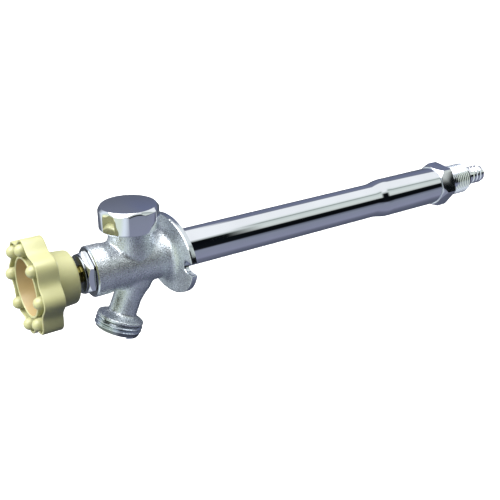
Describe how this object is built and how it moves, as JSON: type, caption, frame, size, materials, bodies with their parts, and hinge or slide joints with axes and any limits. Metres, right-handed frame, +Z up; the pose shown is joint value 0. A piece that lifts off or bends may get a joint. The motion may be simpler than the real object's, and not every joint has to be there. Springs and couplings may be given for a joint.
{
  "type": "hose bib",
  "caption": "Frost-free anti-siphon wall hose bib with a lobed hand wheel, vacuum breaker cap, threaded spout, wall flange and a long barrel to a pipe-thread and crimp-barb inlet.",
  "frame": {"origin": "centre of the wall face of the flange, on the barrel's axis", "axes": "+Y along the barrel into the wall, +Z up towards the vacuum breaker cap, +X to the right when facing the wall"},
  "size_m": [0.0612, 0.3453, 0.0776],
  "materials": {
    "plated_casting": "plated sand casting with a fine grain, satin",
    "chrome_tube": "polished chrome plate",
    "chrome_fitting": "chrome plate over turned brass",
    "chrome_cap": "polished chrome plate",
    "brass": "turned, unplated",
    "handle_plastic": "moulded, soft gloss, cream yellow",
    "rubber": "matte black",
    "graphite_packing": "pressed graphite packing, dull dark grey",
    "nylon": "natural nylon"
  },
  "bodies": {
    "root": {"body_casting": "plated_casting", "barrel_tube": "chrome_tube", "inlet_fitting": "chrome_fitting", "packing_nut": "chrome_fitting", "packing_washer": "brass", "packing_ring": "graphite_packing", "packing_gland": "brass", "vacuum_breaker_cap": "chrome_cap", "vacuum_breaker_bonnet": "brass", "bonnet_gasket": "rubber"},
    "seat_carrier": {"seat_washer_holder": "brass", "seat_washer": "rubber", "washer_screw": "brass"},
    "stem": {"handle": "handle_plastic", "handle_screw": "brass", "stem_spindle": "brass", "stem_rod": "brass", "rod_guide": "nylon"},
    "poppet": {"vacuum_breaker_poppet": "nylon", "poppet_seal": "rubber"}
  },
  "joints": [
    {"name": "stem_travel", "type": "slide", "parent": "root", "child": "seat_carrier", "axis": [0, -1, 0], "range_m": [0, 0.006]},
    {"name": "handle_turn", "type": "hinge", "parent": "seat_carrier", "child": "stem", "pos_m": [0, -0.0598, 0], "axis": [0, -1, 0], "range_deg": [0, 720]},
    {"name": "poppet_lift", "type": "slide", "parent": "root", "child": "poppet", "axis": [0, 0, 1], "range_m": [0, 0.0025]}
  ],
  "couplings": [
    {"joint": "handle_turn", "follows": "stem_travel", "rad_per_m": 2094.4}
  ]
}
